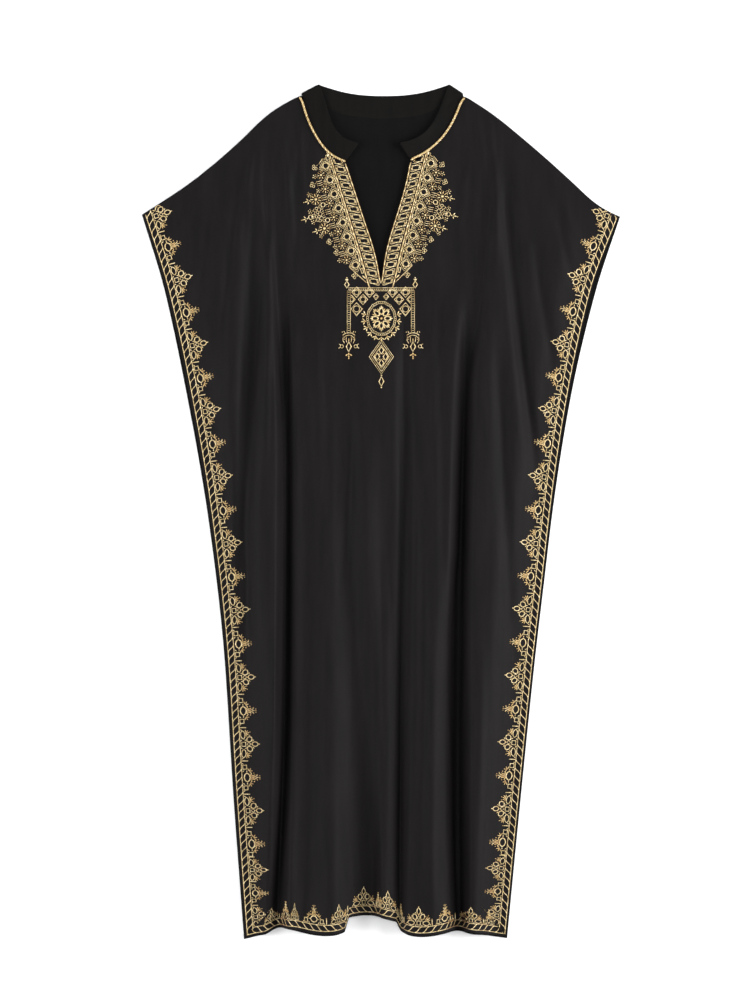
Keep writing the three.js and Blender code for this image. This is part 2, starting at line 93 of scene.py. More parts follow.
def linear(hex_colour):
    channels = [int(hex_colour[i : i + 2], 16) / 255 for i in (1, 3, 5)]
    return tuple(c / 12.92 if c <= 0.04045 else ((c + 0.055) / 1.055) ** 2.4 for c in channels) + (1.0,)


def new_material(name, **surface):
    material = bpy.data.materials.new(name)
    material.use_nodes = True
    shader = material.node_tree.nodes["Principled BSDF"]
    for socket, value in surface.items():
        shader.inputs[socket.replace("_", " ")].default_value = value
    return material, shader


def add_node(material, kind, settings=(), links=()):
    node = material.node_tree.nodes.new(kind)
    for name, value in dict(settings).items():
        if hasattr(node, name) and name not in node.inputs:
            setattr(node, name, value)
        else:
            node.inputs[name].default_value = value
    for name, source in dict(links).items():
        material.node_tree.links.new(source, node.inputs[name])
    return node


def colour_steps(material, source, steps):
    ramp = add_node(material, "ShaderNodeValToRGB", links={"Fac": source})
    stops = ramp.color_ramp.elements
    while len(stops) < len(steps):
        stops.new(0.5)
    for stop, (place, colour) in zip(stops, steps):
        stop.position = place
        stop.color = linear(colour)
    return ramp.outputs["Color"]


WAVE_BAND = 0.314  # metres from band to band of a wave texture at scale 1


def woven_rayon(name, dark, middle, light, roughness):
    # Viscose plain weave, piece dyed black: matt with a soft sheen along the folds. The threads are
    # 0.35 mm apart in the real cloth and are drawn 0.7 mm apart, so that they show close to.
    material, shader = new_material(
        name,
        Roughness=roughness,
        IOR=1.46,
        Sheen_Weight=0.01,
        Sheen_Roughness=0.4,
        Specular_IOR_Level=0.06,
    )
    place = add_node(material, "ShaderNodeTexCoord").outputs["Object"]
    drawn_thread = 0.7 * MM
    bands = []
    for direction in ("X", "Y"):
        threads_one_way = {
            "wave_type": "BANDS",
            "bands_direction": direction,
            "Scale": WAVE_BAND / drawn_thread,
            "Distortion": 0.6,
            "Detail": 1.0,
            "Detail Scale": 2.0,
        }
        wave = add_node(material, "ShaderNodeTexWave", threads_one_way, {"Vector": place})
        bands.append(wave.outputs["Fac"])
    weave = add_node(material, "ShaderNodeMath", {"operation": "MULTIPLY"})
    material.node_tree.links.new(bands[0], weave.inputs[0])
    material.node_tree.links.new(bands[1], weave.inputs[1])
    # Slubs and ripples are drawn out along the warp, down the garment
    drawn_out = {"Scale": (1.0, 0.12, 1.0)}
    down = add_node(material, "ShaderNodeMapping", drawn_out, {"Vector": place}).outputs[0]
    slub = add_node(
        material, "ShaderNodeTexNoise", {"Scale": 90.0, "Detail": 4.0, "Roughness": 0.6}, {"Vector": down}
    ).outputs["Fac"]
    tone = colour_steps(material, slub, [(0.25, dark), (0.5, middle), (0.8, light)])
    material.node_tree.links.new(tone, shader.inputs["Base Color"])
    threads = add_node(
        material, "ShaderNodeBump", {"Strength": 0.35, "Distance": 0.0002}, {"Height": weave.outputs[0]}
    )
    # The slack cloth also ripples by a fraction of a millimetre over a few centimetres
    ripple = add_node(
        material, "ShaderNodeTexNoise", {"Scale": 26.0, "Detail": 2.0, "Roughness": 0.4}, {"Vector": down}
    ).outputs["Fac"]
    relief = add_node(
        material,
        "ShaderNodeBump",
        {"Strength": 0.4, "Distance": 0.0012},
        {"Height": ripple, "Normal": threads.outputs["Normal"]},
    )
    material.node_tree.links.new(relief.outputs["Normal"], shader.inputs["Normal"])
    return material


def gold_thread(name, dark, middle, light, turn):
    # Metallised polyester embroidery thread, laid in satin stitch: a pale gold with a broken shine.
    # The stitches are 0.4 mm apart in the real work and are drawn 0.8 mm apart, so that they show.
    material, shader = new_material(
        name, Metallic=0.15, Roughness=0.42, IOR=1.5, Specular_IOR_Level=0.6, Sheen_Weight=0.1
    )
    coordinates = add_node(material, "ShaderNodeTexCoord")
    place = coordinates.outputs["Object"]
    turned = add_node(material, "ShaderNodeMapping", {"Rotation": (0, 0, turn)}, {"Vector": place})
    drawn_stitch = 0.8 * MM
    satin = {
        "wave_type": "BANDS",
        "bands_direction": "X",
        "Scale": WAVE_BAND / drawn_stitch,
        "Distortion": 2.5,
        "Detail": 2.0,
    }
    stitch = add_node(material, "ShaderNodeTexWave", satin, {"Vector": turned.outputs[0]})
    # Painted glints: a fine noise spreads the thread's colour from a darker gold up to near-white
    # highlights in small patches
    glint = add_node(
        material, "ShaderNodeTexNoise", {"Scale": 420.0, "Detail": 2.0, "Roughness": 0.6}, {"Vector": place}
    ).outputs["Fac"]
    tone = colour_steps(material, glint, [(0.3, dark), (0.52, middle), (0.72, light)])
    # Painted shade: the thread is darkened to a deep brown gold where its surface turns down to the cloth
    # at the sides of a stitch, the more the further it faces away from straight up
    facing = add_node(material, "ShaderNodeSeparateXYZ", {}, {"Vector": coordinates.outputs["Normal"]})
    sides = colour_steps(material, facing.outputs["Z"], [(0.5, "#8E6A2C"), (0.9, "#FFFFFF")])
    thread_tone_with_painted_shade = add_node(
        material,
        "ShaderNodeMixRGB",
        {"blend_type": "MULTIPLY", "Fac": 1.0},
        {"Color1": tone, "Color2": sides},
    )
    material.node_tree.links.new(thread_tone_with_painted_shade.outputs["Color"], shader.inputs["Base Color"])
    bump = add_node(
        material,
        "ShaderNodeBump",
        {"Strength": 0.5, "Distance": 0.0003},
        {"Height": stitch.outputs["Fac"]},
    )
    material.node_tree.links.new(bump.outputs["Normal"], shader.inputs["Normal"])
    return material


black_rayon = woven_rayon("black woven rayon", "#0F0E0E", "#121011", "#151314", 0.6)
# Painted shade: the back panel, seen through the slit and past the front panel's edges, is the same black
# rayon made darker, as it lies in shade behind the front
black_rayon_inside_shade = woven_rayon("black rayon inside with painted shade", "#070606", "#090808", "#0B0A0A", 0.7)
black_collar = woven_rayon("black interlined collar cloth", "#0A0909", "#0C0B0A", "#0F0E0D", 0.7)
pale_gold = gold_thread("pale gold satin stitch", "#A0864C", "#DAC791", "#FFF2D0", 0.6)
old_gold = gold_thread("old gold satin stitch", "#927238", "#CEAF70", "#ECD8A8", 2.1)

# Cloth: thin shells on the walls' own form

# Creases, besides the folds of the walls: soft troughs, whose height at the middle is below zero, and
# ridges. Each runs from its first end to its foot, where the bow is how far it swings out between them.
CREASES = [
    # top x, top y, foot x, foot y, bow, half width, height
    (-176, 520, -206, -250, -6, 22, -7.5),
    (-158, 540, -144, 120, 2, 15, -6.5),
    (-114, 200, -106, -660, 6, 42, -11.0),
    (-66, 190, -30, -660, -10, 46, -9.5),
    (10, 120, -2, -680, 2, 40, -12.0),
    (37, 250, 28, -640, 3, 15, -4.5),
    (158, 540, 128, 200, 4, 19, -7.5),
    (108, -60, 96, -670, 0, 24, -10.0),
    (184, 560, 234, 40, -6, 14, -5.5),
    (172, 260, 192, -220, 3, 14, -4.0),
    (226, 430, 262, 190, 0, 12, -3.0),
    (-214, 545, -240, 250, 3, 11, -3.0),
    (-176, 560, -168, 380, 0, 9, -2.6),
    (-86, 300, -84, -30, 3, 13, -2.0),
    (-40, 160, -60, -120, 2, 11, -2.2),
    (82, 330, 92, -120, 5, 12, -2.2),
    (62, 60, 58, -520, 4, 12, -2.6),
    (-156, -40, -158, -380, 0, 10, 2.4),
    (6, -60, 10, -560, 3, 9, 1.8),
    (78, -120, 76, -600, -3, 13, 2.4),
    (150, -180, 148, -600, 0, 11, 2.2),
    (-166, 300, -172, 60, -2, 9, 2.4),
    (196, 500, 206, 330, 0, 8, 2.2),
    (-196, 520, -202, 380, 0, 8, 1.8),
    (-128, 560, -150, 430, 2, 9, 1.6),
    (140, 590, 166, 480, 2, 9, 1.6),
    (-250, 480, -286, 330, 4, 10, -2.0),
    (262, 470, 296, 320, -4, 10, -2.0),
    (-190, 545, -216, 380, -3, 8, 2.8),
    (-150, 575, -134, 400, 4, 9, 2.4),
    (-120, 585, -112, 450, -2, 7, 1.5),
    (160, 600, 174, 360, 4, 9, 2.3),
    (196, 560, 206, 390, 3, 8, 1.9),
    (128, 520, 120, 420, 0, 7, 1.3),
    (-260, 520, -306, 410, 3, 8, 1.6),
    (248, 530, 300, 400, -3, 9, 1.7),
]


def crease_height(x, y):
    height = 0.0
    for top_x, top_y, foot_x, foot_y, bow, half_width, middle in CREASES:
        along = (top_y - y) / (top_y - foot_y)
        if not 0 < along < 1:
            continue
        line = top_x + (foot_x - top_x) * along + bow * math.sin(math.pi * along)
        across = abs(x - line) / half_width
        if across < 1:
            taper = min(1.0, 1.5 * math.sin(math.pi * along) ** 0.8)
            height += middle * taper * (0.5 + 0.5 * math.cos(math.pi * across))
    return height


# The hem steps up in the middle: the corners of its two steps, and how sharp they stay
HEM_STEPS = [(-54, -627), (-47.5, -606.5), (23, -613.5), (29.5, -626.5)]
STEP_SHARPNESS = 0.8


def upper_shell(node, name, lowest):
    """The upper skin of a CAD wall as a smooth sheet with its fine creases, and where it lies lowest."""
    sheet = new_piece(name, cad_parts[node].data.copy())
    sheet.data.materials.clear()
    only(sheet)
    bpy.ops.object.mode_set(mode="EDIT")
    bpy.ops.mesh.select_all(action="SELECT")
    bpy.ops.mesh.remove_doubles(threshold=MERGE)
    work = bmesh.from_edit_mesh(sheet.data)
    work.normal_update()
    for face in work.faces:
        face.select = face.normal.z < 0.05
    bmesh.update_edit_mesh(sheet.data)
    bpy.ops.mesh.delete(type="FACE")
    bpy.ops.mesh.select_all(action="SELECT")
    bpy.ops.mesh.tris_convert_to_quads(face_threshold=math.pi, shape_threshold=math.pi)
    bpy.ops.object.mode_set(mode="OBJECT")
    sharp = sheet.data.attributes.new("crease_vert", "FLOAT", "POINT")
    for x, y in HEM_STEPS:
        corner = min(sheet.data.vertices, key=lambda vertex: math.dist(vertex.co.xy, (x * MM, y * MM)))
        sharp.data[corner.index].value = STEP_SHARPNESS
    finish_with(sheet, "SUBSURF", levels=2, render_levels=2, boundary_smooth="PRESERVE_CORNERS")
    for vertex in sheet.data.vertices:
        place = vertex.co
        crease = crease_height(place.x / MM, place.y / MM) * MM
        # A trough stops short of the surface that the garment lies on
        if crease < 0:
            lift = max(place.z - lowest, 0)
            crease = max(crease * smooth_blend(0, 0.007, lift), -0.62 * lift)
        place.z += crease
    return sheet


front_cloth = upper_shell("front_panel", "front_cloth", 3.6 * MM)
back_cloth = upper_shell("back_panel", "back_cloth", 1.5 * MM)


class Bed:
    """The upper skin that the embroidery lies on, and the runs of its edge."""

    def __init__(self, sheet):
        work = bmesh.new()
        work.from_mesh(sheet.data)
        self.skin = BVHTree.FromBMesh(work)
        self.beside = {}
        for edge in work.edges:
            if len(edge.link_faces) == 1:
                a, b = edge.verts
                self.beside.setdefault(a.index, []).append(b.index)
                self.beside.setdefault(b.index, []).append(a.index)
        work.verts.ensure_lookup_table()
        self.places = {i: work.verts[i].co.copy() for i in self.beside}
        work.free()

    def on(self, x, y, height):
        """The point at this height over the cloth, from a place in millimetres, or None off the cloth."""
        hit, normal, _, _ = self.skin.ray_cast(Vector((x * MM, y * MM, 0.3)), Vector((0, 0, -1)))
        if hit is None:
            return None
        return hit + normal * (height * MM if normal.z > 0 else -height * MM)

    def edge_run(self, start, end):
        """The cloth's edge between two of its corners, the shorter way round, in millimetres."""
        def nearest(corner):
            at = Vector((corner[0] * MM, corner[1] * MM))
            return min(self.places, key=lambda i: (self.places[i].xy - at).length)

        first, last = nearest(start), nearest(end)
        runs = []
        for step in self.beside[first]:
            run = [first, step]
            while run[-1] != last:
                ahead = [i for i in self.beside[run[-1]] if i != run[-2]]
                run.append(ahead[0])
            runs.append([self.places[i] / MM for i in run])
        return min(runs, key=lambda run: sum((b - a).length for a, b in zip(run, run[1:])))


bed = Bed(front_cloth)
back_bed = Bed(back_cloth)


class Run:
    """A line along the cloth, read by the distance along it in millimetres."""

    def __init__(self, points, flat=True):
        self.points = [Vector((p.x, p.y)) for p in points]
        steps = [(b.xy - a.xy).length if flat else (b - a).length for a, b in zip(points, points[1:])]
        self.at = [0.0]
        for step in steps:
            self.at.append(self.at[-1] + step)
        self.length = self.at[-1]

    def point(self, distance):
        i = min(max(bisect.bisect_right(self.at, distance) - 1, 0), len(self.at) - 2)
        share = (distance - self.at[i]) / max(self.at[i + 1] - self.at[i], 1e-9)
        return self.points[i].lerp(self.points[i + 1], share)

    def direction(self, distance, reach=7.0):
        return (self.point(distance + reach) - self.point(distance - reach)).normalized()


# Stitched motifs, each made once, flat, in millimetres


def eyelet(x, y, radius, width=1.3, stretch=1.0, turn=0.0, height=1.1):
    """A ring of satin stitch, longer one way where it is stretched."""
    bpy.ops.mesh.primitive_torus_add(
        major_radius=radius,
        minor_radius=width / 2,
        major_segments=14 if radius > 2.5 else 9,
        minor_segments=4,
    )
    ring = bpy.context.object
    ring.scale = (stretch, 1, height / width)
    ring.rotation_euler = (0, 0, turn)
    ring.location = (x, y, 0.25)
    return ring


def leaf(x, y, length, width, turn=0.0, height=1.0):
    """A pointed satin stitch leaf, whose middle is at the place given."""
    bpy.ops.mesh.primitive_uv_sphere_add(segments=6, ring_count=5, radius=0.5)
    blade = bpy.context.object
    for vertex in blade.data.vertices:
        along, across, up = vertex.co.z, vertex.co.y, vertex.co.x
        vertex.co = (along * length, across * width * (1 - 0.5 * abs(along)), up * height * 1.6)
    blade.rotation_euler = (0, 0, turn)
    blade.location = (x, y, 0.2)
    return blade


def knot(x, y, radius, height=1.2):
    """A raised knot of thread."""
    bpy.ops.mesh.primitive_uv_sphere_add(segments=6, ring_count=4, radius=radius)
    bead = bpy.context.object
    bead.scale = (1, 1, height / radius / 1.4)
    bead.location = (x, y, 0.2)
    return bead


def couched(points, width=1.4, height=1.1, closed=False):
    """A thread laid along the given points."""
    curve = bpy.data.curves.new("thread", "CURVE")
    curve.dimensions = "3D"
    curve.bevel_depth = width / 2
    curve.bevel_resolution = 0
    curve.use_fill_caps = True
    line = curve.splines.new("POLY")
    line.points.add(len(points) - 1)
    line.use_cyclic_u = closed
    for point, (x, y) in zip(line.points, points):
        point.co = (x, y, 0, 1)
    thread = new_piece("thread", curve)
    only(thread)
    bpy.ops.object.convert(target="MESH")
    thread = bpy.context.object
    thread.scale = (1, 1, height / width)
    thread.location = (0, 0, 0.2)
    return thread


def loop(x, y, half_long, half_wide, width=1.6, turn=0.0):
    """A pointed loop of thread, as round a seed."""
    outline = [(-1, 0), (-0.62, 0.72), (0, 1), (0.62, 0.72), (1, 0), (0.62, -0.72), (0, -1), (-0.62, -0.72)]
    c, t = math.cos(turn), math.sin(turn)
    points = []
    for along, across in outline:
        u, v = along * half_long, across * half_wide
        points.append((x + u * c - v * t, y + u * t + v * c))
    return couched(points, width, closed=True)


def window(x, y, half_x, half_y, width=1.6, slant=0.0):
    """A four-cornered frame of thread, its sides leaning along X by the slant."""
    corners = [(-half_x, -half_y), (half_x, -half_y), (half_x, half_y), (-half_x, half_y)]
    return couched([(x + dx + slant * dy, y + dy) for dx, dy in corners], width, closed=True)


def rhomb(x, y, half_x, half_y, width=1.3):
    """A four-cornered frame of thread that stands on its point."""
    return couched([(x - half_x, y), (x, y + half_y), (x + half_x, y), (x, y - half_y)], width, closed=True)


def beads(start, end, count, radius=1.1):
    """A straight row of knots."""
    start, end = Vector(start), Vector(end)
    return [knot(*start.lerp(end, i / (count - 1)), radius) for i in range(count)]


def spray(x, y, turn, count, reach, length, width, spread):
    """Leaves fanned about a direction."""
    leaves = []
    for i in range(count):
        angle = turn + spread * (i / (count - 1) - 0.5)
        away = reach * (1 - 0.18 * abs(i / (count - 1) - 0.5))
        leaves.append(leaf(x + away * math.cos(angle), y + away * math.sin(angle), length, width, angle))
    return leaves


def motif(name, parts):
    """Joins the stitches of one motif, pale gold first and old gold second, into one flat mesh."""
    pale, old = parts
    for stitches, material in ((pale, pale_gold), (old, old_gold)):
        for stitch in stitches:
            stitch.data.materials.clear()
            stitch.data.materials.append(material)
    every = pale + old
    only(every[0])
    for stitch in every[1:]:
        stitch.select_set(True)
    if len(every) > 1:
        bpy.ops.object.join()
    joined = bpy.context.object
    bpy.ops.object.transform_apply(location=True, rotation=True, scale=True)
    joined.name = name
    mesh = joined.data
    bpy.context.scene.collection.objects.unlink(joined)
    return mesh


def stitches_of(work):
    """The separate stitches of a motif, each as the list of its vertices."""
    seen = set()
    for start in work.verts:
        if start in seen:
            continue
        seen.add(start)
        stitch = [start]
        for vertex in stitch:
            for edge in vertex.link_edges:
                other = edge.other_vert(vertex)
                if other not in seen:
                    seen.add(other)
                    stitch.append(other)
        yield stitch


def kept_place(place, middle, corner):
    """The place of a stitch's corner, or the last one towards it from the stitch's middle."""
    if place(*corner):
        return place(*corner)
    near, far = 0.0, 1.0
    for _ in range(6):
        half = (near + far) / 2
        if place(*middle.lerp(corner, half)):
            near = half
        else:
            far = half
    return place(*middle.lerp(corner, near))


def lay(mesh, place):
    """A copy of a flat motif, wrapped onto the cloth. Stitches whose middle has no place are left out."""
    copy = mesh.copy()
    work = bmesh.new()
    work.from_mesh(copy)
    lost = []
    for stitch in stitches_of(work):
        middle = sum((vertex.co.xy for vertex in stitch), Vector((0, 0))) / len(stitch)
        if place(*middle) is None:
            lost += stitch
            continue
        for vertex in stitch:
            point = bed.on(*kept_place(place, middle, vertex.co.xy), vertex.co.z)
            if point is None:
                lost.append(vertex)
            else:
                vertex.co = point
    bmesh.ops.delete(work, geom=lost, context="VERTS")
    work.to_mesh(copy)
    work.free()
    return copy


def embroidery(name, meshes):
    """Joins laid motifs into one piece with its faces outwards."""
    pieces = [new_piece(name, mesh) for mesh in meshes]
    only(pieces[0])
    for piece in pieces[1:]:
        piece.select_set(True)
    if len(pieces) > 1:
        bpy.ops.object.join()
    piece = bpy.context.object
    piece.name = name
    bpy.ops.object.mode_set(mode="EDIT")
    bpy.ops.mesh.select_all(action="SELECT")
    bpy.ops.mesh.fill_holes(sides=12)
    bpy.ops.mesh.normals_make_consistent(inside=False)
    bpy.ops.object.mode_set(mode="OBJECT")
    bpy.ops.object.shade_smooth()
    return piece


# The border of the sides and the hem

STRIP = 58.0  # a length of the plaited strip with five bars
CELL = 50.0  # a motif and its share of the border, along the edge
EDGE_LINE = 4.4  # from the cloth's edge to the outer line
INNER_LINE = 13.5  # to the inner line


def strip_cell():
    """The plaited strip of the border: two lines and five slanting bars with swollen ends."""
    steps = [STRIP * i / 14 for i in range(15)]
    pale = [couched([(x, y) for x in steps], 1.3) for y in (EDGE_LINE, INNER_LINE)]
    pitch = STRIP / 5
    for i in range(5):
        x = pitch * i
        bend = [(0, 0.0), (3.0, 1.3), (5.4, 4.0), (7.6, 7.0), (10.6, 9.0)]
        pale.append(couched([(x + dx, EDGE_LINE + dy) for dx, dy in bend], 1.3))
        pale.append(leaf(x + 9.2, INNER_LINE - 0.9, 5.0, 1.7, math.radians(32)))
        pale.append(leaf(x + 1.6, EDGE_LINE + 0.8, 4.6, 1.6, math.radians(26)))
    return motif("strip", (pale, []))


def cross_bar():
    x = CELL / 2
    return couched([(x, INNER_LINE), (x, INNER_LINE + 5), (x - 0.3, INNER_LINE + 10.6)], 1.8)


def big_cell():
    """A stepped flower of pointed loops over a square eyelet, with a long loop and a spray on each side."""
    foot = INNER_LINE
    pale = [
        loop(0, foot + 23.0, 4.9, 3.5, 1.8, math.pi / 2),
        leaf(0, foot + 29.0, 3.6, 1.8, math.pi / 2),
        window(0, foot + 5.6, 3.1, 3.0, 1.7),
        rhomb(0, foot + 13.4, 2.6, 3.2, 1.3),
        cross_bar(),
    ]
    old = [knot(0, foot + 18.2, 1.2)]
    for side in (-1, 1):
        pale.append(loop(side * 7.2, foot + 14.6, 4.6, 3.9, 1.8, math.radians(90 - side * 38)))
        pale.append(loop(side * 14.0, foot + 4.9, 6.4, 3.5, 1.6, math.radians(side * -6)))
        pale.append(leaf(side * 5.4, foot + 20.2, 3.8, 1.6, math.radians(90 - side * 50)))
        pale.append(leaf(side * 6.0, foot + 8.6, 3.6, 1.6, math.radians(90 + side * 24)))
        pale.append(leaf(side * 5.8, foot + 2.0, 3.6, 1.5, math.radians(90 - side * 50)))
        pale.append(leaf(side * 21.6, foot + 2.4, 3.6, 1.5, math.radians(90 + side * 40)))
        lean = math.radians(90 - side * 8)
        old += spray(side * 16.4, foot + 9.4, lean, 5, 3.4, 4.8, 1.6, math.radians(170))
        for out, up, radius in ((16.4, 10.2, 1.4), (18.0, 16.0, 0.9), (13.2, 15.4, 0.9), (4.0, 10.6, 0.9)):
            old.append(knot(side * out, foot + up, radius))
    return motif("big", (pale, old))


def small_cell():
    """An eye-shaped loop under a pointed spray of leaves, between two square eyelets."""
    foot = INNER_LINE
    pale = [loop(0, foot + 7.8, 6.8, 4.7, 2.1), cross_bar()]
    old = spray(0, foot + 10.4, math.pi / 2, 5, 5.4, 5.4, 1.8, math.radians(100))
    old += spray(0, foot + 13.8, math.pi / 2, 4, 5.6, 5.4, 1.7, math.radians(66))
    pale += spray(0, foot + 17.6, math.pi / 2, 3, 5.4, 4.8, 1.6, math.radians(52))
    old.append(leaf(0, foot + 26.4, 4.4, 1.3, math.pi / 2))
    for side in (-1, 1):
        pale.append(window(side * 15.6, foot + 4.9, 3.0, 3.0, 1.8))
        pale.append(leaf(side * 9.4, foot + 2.4, 4.0, 1.5, math.radians(90 - side * 40)))
        pale.append(leaf(side * 9.2, foot + 7.8, 3.6, 1.5))
        pale.append(leaf(side * 20.6, foot + 2.2, 3.4, 1.4, math.radians(90 + side * 40)))
        lean = math.radians(90 - side * 35)
        old += spray(side * 9.0, foot + 11.2, lean, 4, 3.6, 4.8, 1.6, math.radians(150))
        for out, up, radius in ((9.8, 12.2, 1.3), (6.4, 18.4, 1.0), (2.4, 27.2, 0.8), (4.2, 23.4, 0.9)):
            old.append(knot(side * out, foot + up, radius))
    return motif("small", (pale, old))


strip = strip_cell()
big = big_cell()
small = small_cell()

LEFT_TIP, RIGHT_TIP = (-358, 444), (357, 441)
LEFT_FOOT, RIGHT_FOOT = (-204.5, -639.3), (187.8, -637.5)


def side_border(name, foot, tip, inward, shift):
    """The border up one side, its lines shifted in from the cloth's edge."""
    run = Run(bed.edge_run(foot, tip))

    def place(u, v):
        u, v = max(u, v), v + shift
        direction = run.direction(min(max(u, 8), run.length - 8))
        at = run.point(u)
        rise = inward * math.copysign(1, direction.y)
        return at.x + inward * abs(direction.y) * v, at.y - rise * direction.x * v

    laid = []
    for i in range(math.ceil(run.length / STRIP)):
        laid.append(lay(strip, lambda u, v, start=i * STRIP: place(start + u, v)))
    # The lowest motifs stand closer together than the rest
    middles = [31, 67, 102, 141]
    while middles[-1] + CELL < run.length + 5:
        middles.append(middles[-1] + CELL)
    for i, middle in enumerate(middles):
        gap = min(CELL, (middles[i + 1] - middle) if i + 1 < len(middles) else CELL)
        cell = big if i % 2 == 0 else small
        laid.append(lay(cell, lambda u, v, m=middle, k=gap / CELL: place(m + u * k, v)))
    return embroidery(name, laid)


# Motifs along the hem: the middle of each, and what the folds leave in sight of its width and its height
HEM_CELLS = [
    # kind, middle, width, share of the height
    ("big", -164, 24, 0.66),
    ("small", -142, 16, 0.95),
    ("big", -129, 12, 0.85),
    ("small", -100, 38, 1.0),
    ("big", -63, 26, 0.95),
    ("big", -26, 38, 0.95),
    ("small", -4, 9, 0.8),
    ("big", 10, 30, 0.95),
    ("small", 30, 10, 0.9),
    ("big", 56, 40, 1.0),
    ("small", 95, 32, 1.0),
    ("big", 134, 38, 0.8),
    ("small", 161, 16, 0.85),
]


def hem_border(name):
    points = bed.edge_run(LEFT_FOOT, RIGHT_FOOT)
    run = Run(points, flat=False)
    edge = sorted((p.x, p.y) for p in points)
    xs = [x for x, _ in edge]
    middle_of_run = run.length / 2

    def hem_y(x):
        i = min(max(bisect.bisect_right(xs, x) - 1, 0), len(xs) - 2)
        share = min(1, max(0, (x - xs[i]) / max(xs[i + 1] - xs[i], 1e-6)))
        return edge[i][1] + share * (edge[i + 1][1] - edge[i][1])

    # The plait runs both ways from the middle of the hem
    def on_strip(u, v, way):
        along = min(max(middle_of_run + way * u, v), run.length - v)
        at = run.point(along)
        return at.x, at.y + v

    def in_cell(x, v, share):
        return x, hem_y(x) + INNER_LINE + (v - INNER_LINE) * share

    laid = []
    for i in range(math.ceil(middle_of_run / STRIP)):
        for way in (-1, 1):
            laid.append(lay(strip, lambda u, v, start=i * STRIP, w=way: on_strip(start + u, v, w)))
    cells = {"big": big, "small": small}
    for kind, middle, width, share in HEM_CELLS:
        narrow = width / CELL
        laid.append(lay(cells[kind], lambda u, v, m=middle, k=narrow, h=share: in_cell(m + u * k, v, h)))
    return embroidery(name, laid)


border_left = side_border("border_left", LEFT_FOOT, LEFT_TIP, 1, 0.2)
border_right = side_border("border_right", RIGHT_FOOT, RIGHT_TIP, -1, -1.4)
border_hem = hem_border("border_hem")
stitched = [border_left, border_right, border_hem]

# The neck: ladder, diamonds and lace on each side of the slit

LEFT_CORNER, RIGHT_CORNER = (-120, 624.5), (123, 624.5)
LEFT_SLIT_TOP, RIGHT_SLIT_TOP = (-53.25, 524.25), (43.5, 527)
SLIT_FOOT = (0, 336.75)
BAR_Y = 333.0  # the beaded bar under the slit

RUNG = 12.5  # from one window of the ladder to the next
RUNGS = 17
FIRST_RUNG = -3.5  # from the slit's foot to the ladder's, under the bar
DIAMOND = 22.2  # from one diamond to the next
FIRST_DIAMOND = 34.0  # from the slit's foot to the first whole diamond
DIAMONDS = 8
DIAMOND_LINE = 29.8  # from the slit's edge to the diamonds' middles


def ladder_cell():
    """One window of the slit's ladder, in a double frame, with its share of the lines beside it."""
    half = RUNG / 2
    wave = [(-3.2, 3.9), (-2.9, 6.0), (-1.4, 8.4), (1.0, 11.8), (2.9, 14.4), (3.4, 16.7)]
    lower = [(half + dx - 4.4, y) for dx, y in wave]
    upper = [(half + dx + 4.4, y) for dx, y in reversed(wave)]
    pale = [
        couched([(0, 1.2), (half, 1.2), (RUNG, 1.2)], 2.2, 1.3),
        couched([(0, 19.4), (half, 19.4), (RUNG, 19.4)], 2.3),
        window(half, 10.2, 3.3, 4.7, 1.5, 0.3),
        couched(lower + upper, 1.2, closed=True),
    ]
    old = [
        leaf(half - 2.8, 4.9, 4.4, 1.4, 0.4),
        leaf(half + 2.8, 15.7, 4.4, 1.4, 0.4),
    ]
    return motif("ladder", (pale, old))


def diamond_cell():
    """A diamond round an eyelet in a thin outer line, with the slot beside its upper corner."""
    half = DIAMOND / 2
    pale = [
        eyelet(0, DIAMOND_LINE, 4.3, 1.3),
        rhomb(0, DIAMOND_LINE, 7.7, 7.0, 1.7),
        rhomb(0, DIAMOND_LINE, half, 9.7, 1.0),
        window(half, 23.6, 3.8, 2.0, 1.4),
        leaf(half - 6.6, 22.0, 5.0, 2.0, -0.12),
        leaf(half + 6.6, 22.0, 5.0, 2.0, 0.12),
    ]
    old = [knot(0, DIAMOND_LINE + 8.0, 0.9), knot(half, 27.2, 1.1)]
    return motif("diamond", (pale, old))


def crossing():
    """The thread that runs on from the crossing of two diamonds, outwards past the flower there."""
    start = (DIAMOND / 2 + 5.4, DIAMOND_LINE + 6.6)
    end = (DIAMOND / 2 + 9.6, DIAMOND_LINE + 11.4)
    return motif("crossing", ([couched([start, end], 1.0)], []))


def flower(petals, radius):
    """A small flower of satin stitch petals round a knot."""
    pale, old = [knot(0, 0, radius * 0.3, 1.9)], []
    for i in range(petals):
        angle = 2 * math.pi * i / petals + 0.3
        across, up = math.cos(angle), math.sin(angle)
        kind = pale if i % 2 else old
        kind.append(leaf(radius * 0.7 * across, radius * 0.7 * up, radius * 0.66, radius * 0.22, angle))
        across, up = math.cos(angle + math.pi / petals), math.sin(angle + math.pi / petals)
        old.append(knot(radius * 0.96 * across, radius * 0.96 * up, radius * 0.08, 0.7))
    return motif("flower", (pale, old))


def ring_trefoil():
    """Three small rings on a short stalk, pointing along X."""
    pale = [leaf(-4.4, 0, 3.6, 1.1)]
    for angle in (-1.6, 0, 1.6):
        pale.append(eyelet(2.6 * math.cos(angle) - 0.4, 2.6 * math.sin(angle), 1.8, 1.0))
    return motif("ring trefoil", (pale, []))


def leaf_trefoil():
    """Three leaves and a bead, pointing along X."""
    pale = [leaf(2.4, 0, 5.4, 2.2), knot(-3.2, 0, 1.2)]
    pale += [leaf(0, 2.6, 4.6, 2.0, 1.1), leaf(0, -2.6, 4.6, 2.0, -1.1)]
    return motif("leaf trefoil", (pale, [knot(6.0, 0, 0.9)]))


def bead_sprig():
    """A short sprig with beads beside it, pointing along X."""
    pale = [leaf(0, 0, 5.0, 1.2), knot(3.2, 0, 1.1), knot(1.0, 2.6, 1.0), knot(1.0, -2.6, 1.0)]
    return motif("bead sprig", (pale, [knot(-2.0, 2.2, 0.8), knot(-2.0, -2.2, 0.8)]))


